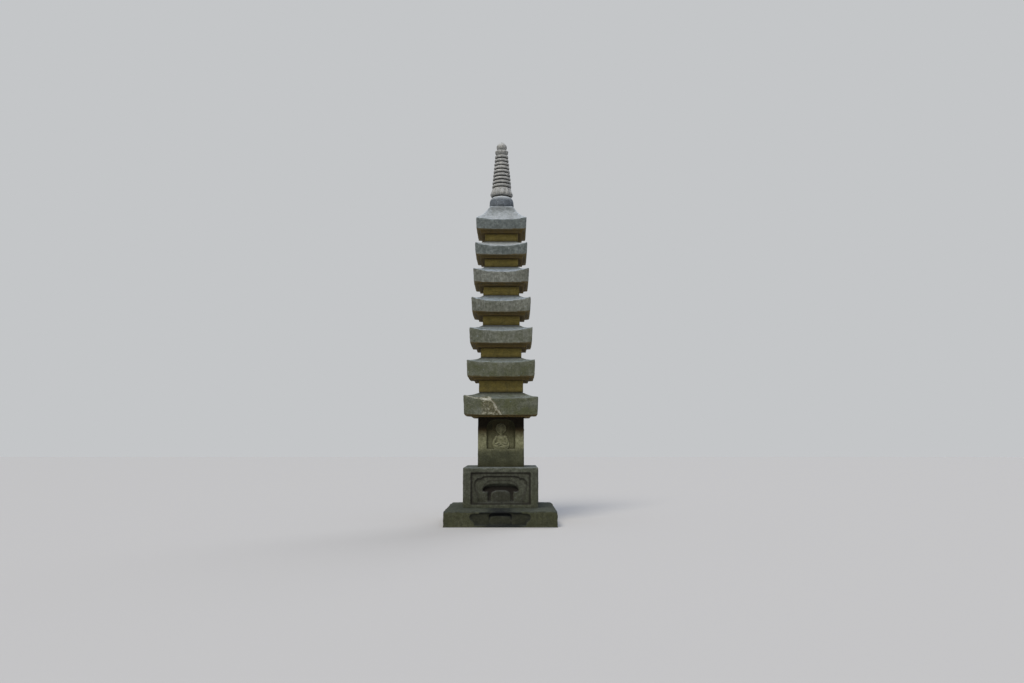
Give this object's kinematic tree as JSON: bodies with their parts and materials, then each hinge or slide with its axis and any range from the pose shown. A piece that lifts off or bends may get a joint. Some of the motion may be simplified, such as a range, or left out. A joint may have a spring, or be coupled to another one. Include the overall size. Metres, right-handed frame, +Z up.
{
  "type": "seven-storey stone pagoda",
  "caption": "Tall garden pagoda of dry-laid grey stones: plinth and base block with cusped panels, square shafts under thick roofs with lifted corners, and a ringed finial.",
  "frame": {"origin": "middle of the plinth's underside", "axes": "+Z up along the tower, -Y towards the front that the picture shows, +X to the viewer's right"},
  "size_m": [1.63, 1.63, 6.005],
  "materials": {
    "base_stone": "weathered grey stone with dirt and lichen",
    "shaft_stone": "tooled stone stained ochre and olive",
    "roof_stone": "weathered grey stone, paler on upward faces, with moss and lichen",
    "finial_stone": "weathered pale grey stone"
  },
  "bodies": {
    "root": {"plinth": "base_stone", "base_block": "base_stone", "first_storey_shaft": "shaft_stone", "storey_shaft_2": "shaft_stone", "storey_shaft_3": "shaft_stone", "storey_shaft_4": "shaft_stone", "storey_shaft_5": "shaft_stone", "storey_shaft_6": "shaft_stone", "storey_shaft_7": "shaft_stone", "roof_1": "roof_stone", "roof_2": "roof_stone", "roof_3": "roof_stone", "roof_4": "roof_stone", "roof_5": "roof_stone", "roof_6": "roof_stone", "roof_7": "roof_stone", "finial_bowl": "finial_stone", "finial_lotus": "finial_stone", "finial_rings": "finial_stone", "finial_upper_lotus": "finial_stone", "finial_jewel": "finial_stone"}
  },
  "joints": []
}
